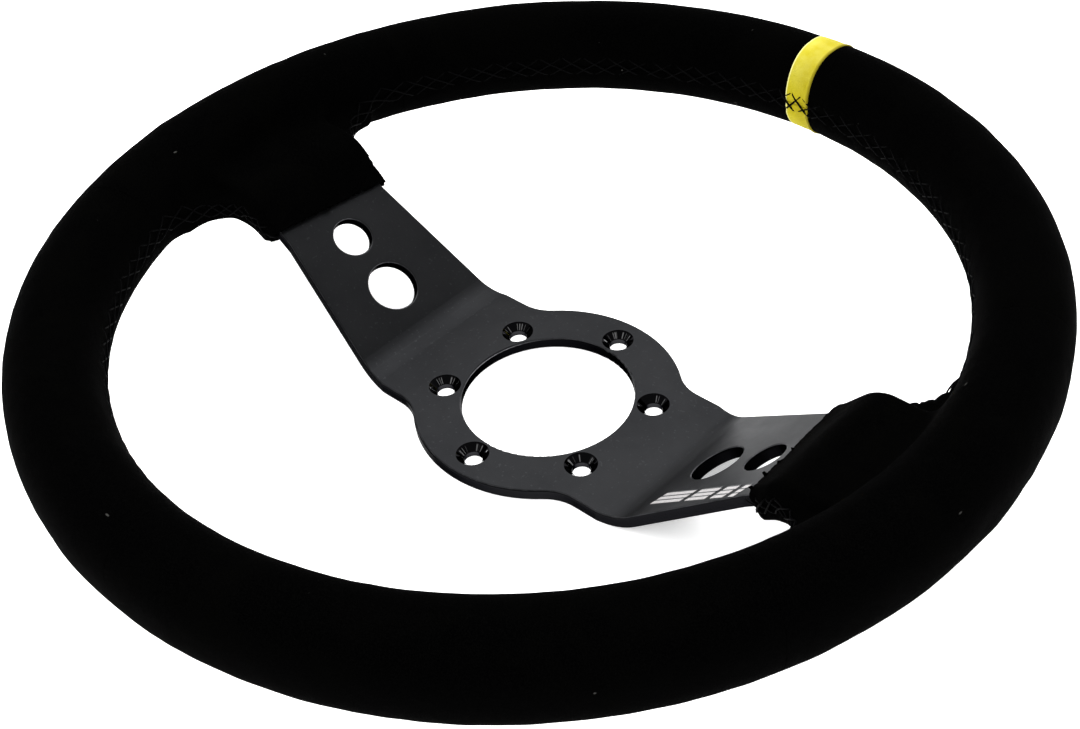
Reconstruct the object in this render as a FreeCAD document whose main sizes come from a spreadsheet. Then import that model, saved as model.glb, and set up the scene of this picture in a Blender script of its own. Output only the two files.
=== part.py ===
# Two-spoke dished steering wheel with a padded, suede-covered rim.
# Frame: origin at the centre of the hub plate's back face, +Z towards the driver,
# +Y to 12 o'clock, +X to 3 o'clock. Millimetres.
import FreeCAD, Part
import math
import os

import Sketcher
from FreeCAD import Placement, Rotation, Vector

DIMENSIONS = {
    # hub plate and spokes, one bent sheet
    "plate_thickness": 4.0,
    "hub_radius": 44.3,
    "centre_bore_radius": 28.5,
    "bolt_circle_radius": 35.0,
    "bolt_count": 6,
    "bolt_hole_diameter": 6.0,
    "countersink_diameter": 10.7,
    "spoke_half_width": 30.2,
    "taper_start": 47.5,
    "spoke_tip_half_width": 21.5,
    "spoke_tip_start": 96.8,
    "neck_fillet_radius": 15.0,
    "bend_start": 54.4,
    "dish_angle": 36.3,
    "bend_radius": 16.0,
    "spoke_end": 137.5,
    "spoke_end_level": 45.5,
    "edge_rounding": 0.7,
    "large_hole_radius": 8.6,
    "large_hole_distance": 20.5,
    "small_hole_radius": 6.7,
    "small_hole_distance": 42.3,
    "hole_offset": 0.7,
    # rim
    "rim_radius": 145.7,
    "rim_height": 49.3,
    "rim_half_width": 14.3,
    "rim_half_depth": 15.7,
    "suede_thickness": 1.2,
    # core ring inside the rim
    "core_tube_radius": 6.0,
    "core_wall": 1.5,
    "core_joint_angle": 0.4,
    "core_sleeve_angle": 24.0,
    "lug_inner_end": 124.0,
    "lug_outer_end": 144.0,
    "lug_half_width": 20.0,
    "lug_thickness": 2.5,
    "rivet_place": 131.0,
    "rivet_spacing": 13.5,
    "rivet_radius": 2.5,
    "rivet_head_radius": 4.0,
    "rivet_head_height": 1.2,
    "rivet_crown_radius": 2.2,
    "rivet_tail_radius": 3.6,
    "rivet_tail_height": 1.4,
    # boots that carry the cover on to the spokes
    "boot_cut": 55.0,
    "boot_lip": 1.7,
    "boot_front_padding": 5.6,
    "boot_back_padding": 4.0,
    "boot_edge_margin": 2.0,
    "boot_neck_radius": 18.0,
    "boot_foam_start": 4.0,
    "boot_lacing_length": 9.0,
    "boot_lacing_gap": 0.05,
    "lacing_end_gap": 0.3,
    # cover panels, as angles round the rim from 3 o'clock
    "band_angle": 4.2,
    "boot_panel_angle": 50.0,
    "thread_radius": 0.5,
    "thread_groove_radius": 0.8,
    # printed bars on the right spoke
    "mark_thickness": 0.1,
    "mark_height": 6.0,
    "mark_slant": 3.0,
}
RIVET_ROWS = (-1, 0, 1)
MARK_BARS = ((64.0, 14.0), (80.5, 9.0), (92.0, 5.5), (100.0, 2.5))
MARK_LEVEL = -21.5
REACH = 200.0

doc = FreeCAD.newDocument("steering_wheel")
sheet = doc.addObject("Spreadsheet::Sheet", "Dims")
for line, (alias, value) in enumerate(DIMENSIONS.items(), start=1):
    sheet.set(f"A{line}", alias)
    sheet.set(f"B{line}", str(value))
    sheet.setAlias(f"B{line}", alias)
doc.recompute()
size = {alias: float(sheet.get(alias)) for alias in DIMENSIONS}

finished = []


def dim(text):
    """An expression with every dimension's name pointing at the sheet."""
    for alias in sorted(DIMENSIONS, key=len, reverse=True):
        text = text.replace(f"{{{alias}}}", f"Dims.{alias}")
    return text


def bind(thing, **sizes):
    """Bind properties to expressions; a double underscore stands for a dot."""
    for prop, text in sizes.items():
        thing.setExpression(prop.replace("__", "."), dim(text))
    return thing


def on_slope(along, above):
    """X and Z expressions of a point on the right spoke's slope, from the front bend line."""
    angle = "({dish_angle} * 1deg)"
    across = f"{{bend_start}} + ({along}) * cos{angle} - ({above}) * sin{angle}"
    up = f"{{plate_thickness}} + ({along}) * sin{angle} + ({above}) * cos{angle}"
    return across, up


def finish(thing, node):
    """Give a sub-part the label that names its file."""
    thing.Label = node
    finished.append(thing)
    return thing


def new_body(name):
    return doc.addObject("PartDesign::Body", name)


def new_sketch(body, name, role="XY_Plane"):
    sketch = body.newObject("Sketcher::SketchObject", name)
    plane = next(item for item in body.Origin.OriginFeatures if item.Role == role)
    sketch.AttachmentSupport = [(plane, "")]
    sketch.MapMode = "FlatFace"
    return sketch


def pin_point(sketch, edge, end, across, up):
    """Fix one sketch point at two bound distances from the origin."""
    for kind, text in (("DistanceX", across), ("DistanceY", up)):
        value = number(text)
        index = sketch.addConstraint(Sketcher.Constraint(kind, -1, 1, edge, end, value))
        sketch.setExpression(f"Constraints[{index}]", dim(text))


def number(text):
    """The value of an expression, as a plain number."""
    value = sheet.evalExpression(dim(text))
    return float(getattr(value, "Value", value))


def outline(sketch, corners):
    """A closed outline. A corner is (across, up) or, after an arc, (across, up, radius, bulge):
    bulge +1 puts the arc's middle to the left of the way from the last corner."""
    spots = [Vector(number(corner[0]), number(corner[1]), 0) for corner in corners]
    count = len(corners)
    for index in range(count):
        start, end = spots[index], spots[(index + 1) % count]
        arrival = corners[(index + 1) % count]
        if len(arrival) == 2:
            sketch.addGeometry(Part.LineSegment(start, end))
            continue
        radius, bulge = number(arrival[2]), arrival[3]
        chord = end - start
        side = Vector(-chord.y, chord.x, 0).normalize()
        sagitta = radius - math.sqrt(radius**2 - (chord.Length / 2) ** 2)
        middle = (start + end) * 0.5 + side * (bulge * sagitta)
        sketch.addGeometry(Part.Arc(start, middle, end))
    ends = [leaving_and_arriving(sketch, index) for index in range(count)]
    for index in range(count):
        following = (index + 1) % count
        leaving, arriving = ends[index][1], ends[following][0]
        sketch.addConstraint(Sketcher.Constraint("Coincident", index, leaving, following, arriving))
        pin_point(sketch, index, ends[index][0], corners[index][0], corners[index][1])
        arrival = corners[following]
        if len(arrival) > 2:
            rule = sketch.addConstraint(Sketcher.Constraint("Radius", index, number(arrival[2])))
            sketch.setExpression(f"Constraints[{rule}]", dim(arrival[2]))


def leaving_and_arriving(sketch, index):
    """Which end of an edge comes first along the outline: an arc may be stored reversed."""
    edge = sketch.Geometry[index]
    reversed_arc = isinstance(edge, Part.ArcOfCircle) and edge.Circle.Axis.z < 0
    return (2, 1) if reversed_arc else (1, 2)


def circles(sketch, rounds):
    """Circles given as (across, up, radius) expressions."""
    for across, up, radius in rounds:
        centre = Vector(number(across), number(up), 0)
        edge = sketch.addGeometry(Part.Circle(centre, Vector(0, 0, 1), number(radius)))
        pin_point(sketch, edge, 3, across, up)
        rule = sketch.addConstraint(Sketcher.Constraint("Radius", edge, number(radius)))
        sketch.setExpression(f"Constraints[{rule}]", dim(radius))


def extrude(body, kind, name, sketch, length, both_ways=False, reverse=False):
    """Pad or Pocket of a sketch."""
    feature = body.newObject(f"PartDesign::{kind}", name)
    feature.Profile = sketch
    feature.SideType = "Symmetric" if both_ways else "One side"
    feature.Reversed = reverse
    bind(feature, Length=length)
    doc.recompute()
    return feature


def mirror_whole(body, name, role):
    """Double the body about one of its own origin planes."""
    feature = body.newObject("PartDesign::Mirrored", name)
    plane = next(item for item in body.Origin.OriginFeatures if item.Role == role)
    feature.TransformMode = "Whole shape"
    feature.MirrorPlane = (plane, [""])
    body.Tip = feature
    doc.recompute()
    return feature


def edges_near(shape, places, reach=0.05):
    """Names of the edges whose middle, ignoring Y, lies at one of the (x, z) places."""
    names = []
    for index, edge in enumerate(shape.Edges, start=1):
        middle = edge.valueAt((edge.FirstParameter + edge.LastParameter) / 2)
        if any(math.hypot(middle.x - x, middle.z - z) < reach for x, z in places):
            names.append(f"Edge{index}")
    return names


def round_edges(body, name, names, radius):
    base = body.Tip
    feature = body.newObject("PartDesign::Fillet", name)
    feature.Base = (base, names)
    bind(feature, Radius=radius)
    body.Tip = feature
    doc.recompute()
    return feature


def outline_edges(shape):
    """Names of the edges between the sheet's faces and its outline, on one quarter of the plate."""
    names = []
    for index, edge in enumerate(shape.Edges, start=1):
        middle = (edge.FirstParameter + edge.LastParameter) / 2
        spot, along = edge.valueAt(middle), edge.tangentAt(middle)
        if spot.x < 0.1 or spot.y < 0.1 or abs(along.z) > 0.99 or spot.x > size["spoke_end"] - 0.1:
            continue
        faces = shape.ancestorsOfType(edge, Part.Face)
        normals = [face.normalAt(*face.Surface.parameter(spot)) for face in faces]
        if abs(normals[0].dot(normals[1])) < 0.5:
            names.append(f"Edge{index}")
    return names


def round_hole_edges(shape):
    """Names of the rims of the centre bore and the lightening holes."""
    names = []
    for index, edge in enumerate(shape.Edges, start=1):
        if edge.isClosed() and edge.Length > 2 * math.pi * (size["small_hole_radius"] - 0.1):
            names.append(f"Edge{index}")
    return names


# --- spoke plate -----------------------------------------------------------------------------

THICK = "{plate_thickness}"
END_FRONT = "{spoke_end_level}"
END_BACK = "({spoke_end_level} - {plate_thickness})"
SLOPE = "tan({dish_angle} * 1deg)"
BACK_BEND = "({bend_start} + {plate_thickness} * tan({dish_angle} * 0.5deg))"
FRONT_KNEE = f"({{bend_start}} + ({END_FRONT} - {THICK}) / {SLOPE})"
BACK_KNEE = f"({BACK_BEND} + {END_BACK} / {SLOPE})"


def neck_points():
    """Where the concave neck fillet leaves the hub's edge and meets the spoke's edge."""
    reach = "({hub_radius} + {neck_fillet_radius})"
    level = "({spoke_half_width} + {neck_fillet_radius})"
    across = f"sqrt({reach} * {reach} - {level} * {level})"
    share = f"{{hub_radius}} / {reach}"
    return (f"{across} * {share}", f"{level} * {share}"), (across, "{spoke_half_width}")


def rivet_spot(side, row):
    return f"{side} * {{rivet_place}}", f"{row} * {{rivet_spacing}}"


def make_spoke_plate():
    body = new_body("SpokePlate")
    profile = new_sketch(body, "SideProfile", "XZ_Plane")
    outline(
        profile,
        [
            ("0", "0"),
            (BACK_BEND, "0"),
            (BACK_KNEE, END_BACK),
            ("{spoke_end}", END_BACK),
            ("{spoke_end}", END_FRONT),
            (FRONT_KNEE, END_FRONT),
            ("{bend_start}", THICK),
            ("0", THICK),
        ],
    )
    sheet_metal = extrude(body, "Pad", "BentSheet", profile, "{hub_radius}", reverse=True)
    body.Tip = sheet_metal
    inner = [(number("{bend_start}"), number(THICK)), (number(BACK_KNEE), number(END_BACK))]
    outer = [(number(BACK_BEND), 0.0), (number(FRONT_KNEE), number(END_FRONT))]
    round_edges(body, "InnerBends", edges_near(body.Shape, inner), "{bend_radius}")
    round_edges(body, "OuterBends", edges_near(body.Shape, outer), "{bend_radius} + {plate_thickness}")

    trim = new_sketch(body, "PlanTrim")
    neck_start, neck_end = neck_points()
    outline(
        trim,
        [
            ("0", "{hub_radius}"),
            (*neck_start, "{hub_radius}", 1),
            (*neck_end, "{neck_fillet_radius}", -1),
            ("{taper_start}", "{spoke_half_width}"),
            ("{spoke_tip_start}", "{spoke_tip_half_width}"),
            ("{spoke_end} + 5", "{spoke_tip_half_width}"),
            ("{spoke_end} + 5", "{hub_radius} + 5"),
            ("0", "{hub_radius} + 5"),
        ],
    )
    extrude(body, "Pocket", "PlanCut", trim, "4 * {rim_height}", both_ways=True)
    round_edges(body, "WornOutline", outline_edges(body.Shape), "{edge_rounding}")
    mirror_whole(body, "LowerHalf", "XZ_Plane")
    mirror_whole(body, "LeftHalf", "YZ_Plane")

    bore = new_sketch(body, "CentreBore")
    circles(bore, [("0", "0", "{centre_bore_radius}")])
    extrude(body, "Pocket", "CentreBoreCut", bore, "4 * {plate_thickness}", both_ways=True)

    rivets = new_sketch(body, "RivetPlaces")
    places = [(*rivet_spot(side, row), "{rivet_radius}") for side in (-1, 1) for row in RIVET_ROWS]
    circles(rivets, places)
    extrude(body, "Pocket", "RivetHoles", rivets, "4 * {rim_height}", both_ways=True)

    for side in (1, -1):
        holes = new_sketch(body, f"LighteningHoles{'Right' if side > 0 else 'Left'}")
        tilt = Rotation(Vector(0, -side, 0), size["dish_angle"])
        holes.AttachmentOffset = Placement(Vector(), tilt)
        bind(
            holes,
            AttachmentOffset__Base__x=f"{side} * {{bend_start}}",
            AttachmentOffset__Base__z=THICK,
            AttachmentOffset__Rotation__Angle="{dish_angle} * 1deg",
        )
        rounds = []
        for hole in ("large", "small"):
            along = f"{side} * {{{hole}_hole_distance}}"
            rounds.append((along, "-{hole_offset}", f"{{{hole}_hole_radius}}"))
        circles(holes, rounds)
        extrude(body, "Pocket", f"{holes.Name}Cut", holes, "4 * {plate_thickness}", both_ways=True)

    round_edges(body, "WornHoles", round_hole_edges(body.Shape), "{edge_rounding}")

    screw = new_sketch(body, "ScrewPlace")
    screw.AttachmentOffset = Placement(Vector(0, 0, size["plate_thickness"]), Rotation())
    bind(screw, AttachmentOffset__Base__z=THICK)
    circles(screw, [("0", "{bolt_circle_radius}", "{bolt_hole_diameter} / 2")])
    doc.recompute()
    hole = body.newObject("PartDesign::Hole", "ScrewHole")
    hole.Profile = screw
    hole.ThreadType = "None"
    hole.DepthType = "ThroughAll"
    hole.HoleCutType = "Countersink"
    hole.HoleCutCountersinkAngle = 90
    bind(hole, Diameter="{bolt_hole_diameter}", HoleCutDiameter="{countersink_diameter}")
    body.Tip = hole
    doc.recompute()
    ring = body.newObject("PartDesign::PolarPattern", "ScrewHoles")
    ring.Originals = [hole]
    axis = next(item for item in body.Origin.OriginFeatures if item.Role == "Z_Axis")
    ring.Axis = (axis, [""])
    ring.Angle = 360
    bind(ring, Occurrences="{bolt_count}")
    body.Tip = ring
    doc.recompute()
    return finish(body, "spoke_plate")


def make_mark():
    """Plain slanted bars, printed near the right spoke's lower edge."""
    body = new_body("SpokeMark")
    body.AllowCompound = True
    bars = new_sketch(body, "Bars")
    bars.AttachmentOffset = Placement(Vector(), Rotation(Vector(0, -1, 0), size["dish_angle"]))
    bind(
        bars,
        AttachmentOffset__Base__x="{bend_start}",
        AttachmentOffset__Base__z=THICK,
        AttachmentOffset__Rotation__Angle="{dish_angle} * 1deg",
    )
    for start, width in MARK_BARS:
        low, high = MARK_LEVEL, MARK_LEVEL + size["mark_height"]
        left = start - size["bend_start"]
        lean = size["mark_slant"]
        corners = [(left, low), (left + width, low), (left + width + lean, high), (left + lean, high)]
        for index, corner in enumerate(corners):
            following = corners[(index + 1) % 4]
            bars.addGeometry(Part.LineSegment(Vector(*corner, 0), Vector(*following, 0)))
    extrude(body, "Pad", "Print", bars, "{mark_thickness}")
    return finish(body, "spoke_mark")


# --- core ring, lugs and rivets --------------------------------------------------------------


def ring_segment(name, tube_radius, start_angle, sweep):
    """A round bar bent to part of the rim's circle; angles count from 3 o'clock."""
    bar = doc.addObject("Part::Torus", name)
    bind(bar, Radius1="{rim_radius}", Radius2=tube_radius, Angle3=sweep)
    bar.Placement = Placement(Vector(), Rotation(Vector(0, 0, 1), number(start_angle)))
    bind(bar, Placement__Base__z="{rim_height}", Placement__Rotation__Angle=f"({start_angle}) * 1deg")
    return bar


def cut(name, base, *tools):
    """Base minus one or more tools."""
    tool = tools[0]
    if len(tools) > 1:
        tool = doc.addObject("Part::MultiFuse", f"{name}Tools")
        tool.Shapes = list(tools)
    result = doc.addObject("Part::Cut", name)
    result.Base, result.Tool = base, tool
    return result


def group(name, pieces):
    bundle = doc.addObject("Part::Compound", name)
    bundle.Links = pieces
    return bundle


def box(name, length, width, height, corner_x, corner_y, corner_z):
    block = doc.addObject("Part::Box", name)
    bind(block, Length=length, Width=width, Height=height)
    bind(block, Placement__Base__x=corner_x, Placement__Base__y=corner_y, Placement__Base__z=corner_z)
    return block


def cylinder(name, radius, height, x, y, z):
    rod = doc.addObject("Part::Cylinder", name)
    bind(rod, Radius=radius, Height=height)
    bind(rod, Placement__Base__x=x, Placement__Base__y=y, Placement__Base__z=z)
    return rod


def make_core():
    start = "-90 + {core_joint_angle} / 2"
    sweep = "360 - {core_joint_angle}"
    outside = ring_segment("CoreOutside", "{core_tube_radius}", start, sweep)
    inside = ring_segment("CoreInside", "{core_tube_radius} - {core_wall}", start, sweep)
    tube = finish(cut("CoreRing", outside, inside), "core_ring")
    start = "-90 - {core_sleeve_angle} / 2"
    sleeve = ring_segment("CoreSleeve", "{core_tube_radius} - {core_wall}", start, "{core_sleeve_angle}")
    finish(sleeve, "core_joint_sleeve")
    return tube, sleeve


LUG_FRONT = "({spoke_end_level} + {lug_thickness})"


def make_lug(side, name):
    """A flat plate on the spoke's end, hollowed where it is welded to the core ring."""
    length = "({lug_outer_end} - {lug_inner_end})"
    corner = ("{lug_inner_end}" if side > 0 else "-{lug_outer_end}", "-{lug_half_width}", END_FRONT)
    block = box(f"LugBlock{name}", length, "2 * {lug_half_width}", "{lug_thickness}", *corner)
    seat = ring_segment(f"LugSeat{name}", "{core_tube_radius}", "0", "360")
    holes = []
    for row in RIVET_ROWS:
        place = (*rivet_spot(side, row), END_BACK)
        height = "{lug_thickness} + 2 * {plate_thickness}"
        holes.append(cylinder(f"LugHole{name}{row + 1}", "{rivet_radius}", height, *place))
    return finish(cut(f"Lug{name}", block, seat, *holes), f"anchor_lug_{name.lower()}")


def make_rivets(side, name):
    """Low-headed rivets through the lug and the spoke's end, set flat behind."""
    pieces = []
    for row in RIVET_ROWS:
        x, y = rivet_spot(side, row)
        tag = f"{name}{row + 1}"
        grip = "{lug_thickness} + {plate_thickness}"
        shank = cylinder(f"Shank{tag}", "{rivet_radius}", grip, x, y, END_BACK)
        tail_level = f"{END_BACK} - {{rivet_tail_height}}"
        tail = cylinder(f"Tail{tag}", "{rivet_tail_radius}", "{rivet_tail_height}", x, y, tail_level)
        head = doc.addObject("Part::Cone", f"Head{tag}")
        bind(head, Radius1="{rivet_head_radius}", Radius2="{rivet_crown_radius}")
        bind(head, Height="{rivet_head_height}", Placement__Base__z=LUG_FRONT)
        bind(head, Placement__Base__x=x, Placement__Base__y=y)
        rivet = doc.addObject("Part::MultiFuse", f"Rivet{tag}")
        rivet.Shapes = [shank, tail, head]
        pieces.append(rivet)
    return finish(group(f"Rivets{name}", pieces), f"rivets_{name.lower()}")


# --- foam grip and suede cover ---------------------------------------------------------------


def rim_solid(name, inset):
    """The rim's oval section turned round the wheel's axis."""
    section = doc.addObject("Part::Ellipse", f"{name}Section")
    upright = Rotation(Vector(0, 0, 1), Vector(1, 0, 0), Vector(0, -1, 0), "ZXY")
    section.Placement = Placement(Vector(), upright)
    bind(section, MajorRadius=f"{{rim_half_depth}} - {inset}", MinorRadius=f"{{rim_half_width}} - {inset}")
    bind(section, Placement__Base__x="{rim_radius}", Placement__Base__z="{rim_height}")
    ring = doc.addObject("Part::Revolution", name)
    ring.Source = section
    ring.Axis = Vector(0, 0, 1)
    ring.Base = Vector()
    ring.Angle = 360
    ring.Solid = True
    return ring


def boot_solid(name, inset, start):
    """The padded sleeve round the right spoke's end, flaring into the rim."""
    body = new_body(name)
    side = new_sketch(body, f"{name}Side", "XZ_Plane")
    top = f"{END_FRONT} + {{boot_front_padding}} - {inset}"
    bottom = f"{END_BACK} - {{boot_back_padding}} + {inset}"
    back_corner = f"{BACK_KNEE} + {{boot_back_padding}} * tan({{dish_angle}} * 0.5deg)"
    outline(
        side,
        [
            on_slope(start, f"{{boot_lip}} - {inset}"),
            (FRONT_KNEE, top),
            ("{rim_radius}", top),
            ("{rim_radius}", bottom),
            (back_corner, bottom),
            on_slope(start, f"-{{plate_thickness}} - {{boot_lip}} + {inset}"),
        ],
    )
    extrude(body, "Pad", f"{name}Slab", side, "3 * {hub_radius}", both_ways=True)
    trim = new_sketch(body, f"{name}Plan")
    half = f"({{spoke_tip_half_width}} + {{boot_edge_margin}} - {inset})"
    level = f"({half} + {{boot_neck_radius}})"
    reach = f"({{rim_radius}} - {{rim_half_width}} + {inset} - {{boot_neck_radius}})"
    across = f"sqrt({reach} * {reach} - {level} * {level})"
    grow = f"({reach} + {{boot_neck_radius}}) / {reach}"
    deep = f"{{rim_radius}} / {reach}"
    outline(
        trim,
        [
            ("{bend_start}", half),
            (across, half),
            (f"{across} * {grow}", f"{level} * {grow}", "{boot_neck_radius}", -1),
            (f"{across} * {deep}", f"{level} * {deep}"),
            ("{rim_radius} + 5", f"{level} * {deep}"),
            ("{rim_radius} + 5", "2 * {hub_radius}"),
            ("{bend_start}", "2 * {hub_radius}"),
        ],
    )
    extrude(body, "Pocket", f"{name}Trim", trim, "4 * {rim_height}", both_ways=True)
    far_side = body.newObject("PartDesign::Mirrored", f"{name}FarTrim")
    far_side.Originals = [doc.getObject(f"{name}Trim")]
    plane = next(item for item in body.Origin.OriginFeatures if item.Role == "XZ_Plane")
    far_side.MirrorPlane = (plane, [""])
    body.Tip = far_side
    doc.recompute()
    return body


def padded_form(name, inset, start):
    """Rim and both boots in one solid."""
    right = boot_solid(f"{name}Boot", inset, start)
    left = doc.addObject("Part::Mirroring", f"{name}LeftBoot")
    left.Source = right
    left.Normal = Vector(1, 0, 0)
    form = doc.addObject("Part::MultiFuse", name)
    form.Shapes = [rim_solid(f"{name}Rim", inset), right, left]
    return form


def sector(name, start, sweep):
    """A wedge from the wheel's axis outwards, between two angles."""
    wedge = doc.addObject("Part::Cylinder", name)
    bind(wedge, Radius=f"{REACH}", Height=f"{REACH}", Angle=sweep)
    wedge.Placement = Placement(Vector(), Rotation(Vector(0, 0, 1), number(start)))
    bind(wedge, Placement__Rotation__Angle=f"({start}) * 1deg")
    return wedge


def common(name, base, tool):
    result = doc.addObject("Part::Common", name)
    result.Base, result.Tool = base, tool
    return result


HALF_BAND = "{band_angle} / 2"
HALF_BOOT = "{boot_panel_angle} / 2"
PANELS = {
    "upper_right": (HALF_BOOT, f"90 - {HALF_BAND} - {HALF_BOOT}"),
    "upper_left": (f"90 + {HALF_BAND}", f"90 - {HALF_BAND} - {HALF_BOOT}"),
    "lower_left": (f"180 + {HALF_BOOT}", f"90 - {HALF_BOOT}"),
    "lower_right": ("270", f"90 - {HALF_BOOT}"),
}
BOOT_PANELS = {"right": f"-{HALF_BOOT}", "left": f"180 - {HALF_BOOT}"}


def lacing(name, start, sweep, radius):
    """A cord laid along the rim's inner equator."""
    cord = doc.addObject("Part::Torus", name)
    bind(cord, Radius1="{rim_radius} - {rim_half_width}", Radius2=radius, Angle3=sweep)
    cord.Placement = Placement(Vector(), Rotation(Vector(0, 0, 1), number(start)))
    bind(cord, Placement__Base__z="{rim_height}", Placement__Rotation__Angle=f"({start}) * 1deg")
    return cord


def between(start, sweep):
    """A panel's angles, drawn in a little at both ends."""
    return f"{start} + {{lacing_end_gap}}", f"{sweep} - 2 * {{lacing_end_gap}}"


def make_grip(plate, hidden_pieces):
    foam_form = padded_form("FoamForm", "{suede_thickness}", "{boot_cut} + {boot_foam_start}")
    finish(cut("GripFoam", foam_form, plate, *hidden_pieces), "grip_foam")
    outer_form = padded_form("CoverForm", "0", "{boot_cut}")
    groove = lacing("LacingGroove", "0", "360", "{thread_groove_radius}")
    boot_zones = []
    for name, start in BOOT_PANELS.items():
        boot_zones.append(sector(f"LacingPause{name}", start, "{boot_panel_angle}"))
    groove = cut("LacingGrooves", groove, *boot_zones)
    cover = cut("Cover", outer_form, foam_form, plate, groove)
    for name, (start, sweep) in PANELS.items():
        piece = common(f"Suede_{name}", cover, sector(f"Sector_{name}", start, sweep))
        finish(piece, f"suede_{name}")
        finish(lacing(f"Thread_{name}", *between(start, sweep), "{thread_radius}"), f"thread_{name}")
    for name, start in BOOT_PANELS.items():
        zone = sector(f"Sector_boot_{name}", start, "{boot_panel_angle}")
        finish(common(f"Suede_boot_{name}", cover, zone), f"suede_boot_{name}")
    band_place = (f"90 - {HALF_BAND}", "{band_angle}")
    finish(common("CentreBand", cover, sector("Sector_band", *band_place)), "centre_band")
    finish(lacing("Thread_band", *between(*band_place), "{thread_radius}"), "thread_band")


def make_boot_threads(side, name):
    """Lacing along both side edges of a boot, straight up the slope."""
    cords = []
    across, up = on_slope("{boot_cut} + {boot_lip}", f"-{THICK} / 2")
    for edge in (-1, 1):
        cord = doc.addObject("Part::Cylinder", f"BootLacing{name}{edge + 1}")
        bind(cord, Radius="{thread_radius}", Height="{boot_lacing_length}")
        cord.Placement = Placement(Vector(), Rotation(Vector(0, side, 0), 90 - size["dish_angle"]))
        rise = "{spoke_tip_half_width} + {boot_edge_margin} + {thread_radius} + {boot_lacing_gap}"
        bind(
            cord,
            Placement__Base__x=f"{side} * ({across})",
            Placement__Base__y=f"{edge} * ({rise})",
            Placement__Base__z=up,
            Placement__Rotation__Angle="90deg - {dish_angle} * 1deg",
        )
        cords.append(cord)
    return finish(group(f"BootLacing{name}", cords), f"thread_boot_{name.lower()}")


def build():
    plate = make_spoke_plate()
    make_mark()
    tube, sleeve = make_core()
    hidden_pieces = [ring_segment("CoreSpace", "{core_tube_radius}", "0", "360")]
    for side, name in ((1, "Right"), (-1, "Left")):
        hidden_pieces.append(make_lug(side, name))
        hidden_pieces.append(make_rivets(side, name))
    make_grip(plate, hidden_pieces)
    for side, name in ((1, "Right"), (-1, "Left")):
        make_boot_threads(side, name)
    doc.recompute()


def check_and_write():
    for item in doc.Objects:
        bad = [state for state in item.State if state in ("Invalid", "Error")]
        if bad:
            raise RuntimeError(f"{item.Name}: {bad}")
    for piece in finished:
        if piece.Shape.isNull() or not piece.Shape.isValid() or not piece.Shape.Solids:
            raise RuntimeError(f"{piece.Label}: no valid solid")
    os.makedirs("parts", exist_ok=True)
    for piece in finished:
        piece.Shape.exportStep(f"parts/{piece.Label}.step")
        box_size = piece.Shape.BoundBox
        print(f"{piece.Label:20s} {len(piece.Shape.Solids)} solid(s) {piece.Shape.Volume / 1000:8.3f} cm3")
        print(f"    x {box_size.XMin:7.1f} {box_size.XMax:7.1f}  y {box_size.YMin:7.1f} {box_size.YMax:7.1f}")
        print(f"    z {box_size.ZMin:7.1f} {box_size.ZMax:7.1f}")


build()
check_and_write()
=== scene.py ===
"""Two-spoke dished steering wheel with a suede cover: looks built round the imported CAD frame."""

import math

import bmesh
import bpy
import numpy as np
from mathutils import Matrix, Vector


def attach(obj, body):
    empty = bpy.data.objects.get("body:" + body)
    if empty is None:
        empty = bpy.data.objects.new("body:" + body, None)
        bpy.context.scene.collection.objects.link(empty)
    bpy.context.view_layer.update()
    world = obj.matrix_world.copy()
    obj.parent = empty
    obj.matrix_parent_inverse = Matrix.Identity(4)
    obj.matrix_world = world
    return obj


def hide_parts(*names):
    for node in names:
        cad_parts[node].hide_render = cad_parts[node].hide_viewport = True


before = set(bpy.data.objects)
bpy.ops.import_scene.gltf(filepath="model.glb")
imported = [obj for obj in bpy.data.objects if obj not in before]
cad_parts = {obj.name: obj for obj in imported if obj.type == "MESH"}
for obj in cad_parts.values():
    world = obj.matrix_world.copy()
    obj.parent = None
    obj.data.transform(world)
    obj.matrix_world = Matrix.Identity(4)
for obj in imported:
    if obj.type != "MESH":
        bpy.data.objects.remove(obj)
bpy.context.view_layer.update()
scene = bpy.context.scene
MM = 0.001

# --- sizes in millimetres, in the CAD's frame --------------------------------------------------
RIM_RADIUS, RIM_HEIGHT = 145.7, 49.3
HALF_WIDTH, HALF_DEPTH, SECTION_POWER = 14.2, 15.7, 2.3
PLATE, BEND, SLOPE = 4.0, 54.4, math.radians(36.3)
END_FRONT = 45.5
TIP_HALF_WIDTH, BOOT_MARGIN, BOOT_NECK = 21.5, 2.5, 17.5
BOOT_CUT, BOOT_GROW = 52.5, 24.0
LIP, FRONT_PAD, BACK_PAD = 1.7, 5.0, 4.0
WEB_FRONT, WEB_BACK = 0.8, 2.5
COVER = 1.2
BOOT_ANGLE, BAND_LOW, BAND_HIGH = 25.0, 86.9, 91.1
SEAM_ANGLE = math.radians(183.0)
SEAM_LEVEL = 48.5
# where each boot is cut off, up the slope, and how much the cut leans across the spoke
CUTS = {1: (55.5, -0.09), -1: (55.0, -0.09)}
# the sheet's rounding at its bends, and how softly a boot's faces and the rim run together
SHEET_BLEND, ARM_BLEND, RIM_BLEND = 3.0, 4.0, 6.0
# the lacing, in millimetres
STITCH_REACH, BOOT_REACH = 3.6, 2.3
RIM_PITCH, BAND_PITCH, BOOT_PITCH = 8.4, 5.0, 4.6
BOOT_LEVEL = 40.0
STITCH_SCATTER = 0.7
THREAD_RADIUS, BAND_THREAD_RADIUS = 0.26, 0.34
THREAD_STEPS, THREAD_SIDES = 13, 8
DIMPLE_DEPTH, DIMPLE_WIDTH = 0.45, 0.85
# parts of the seams further out than this run beside a boot
BOOT_SIDE = 85.0
EDGE_STEPS = np.array([0, 0.05, 0.2, 0.45, 0.8, 1.3, 2.0, 2.8, 3.6, 4.4])


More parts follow.
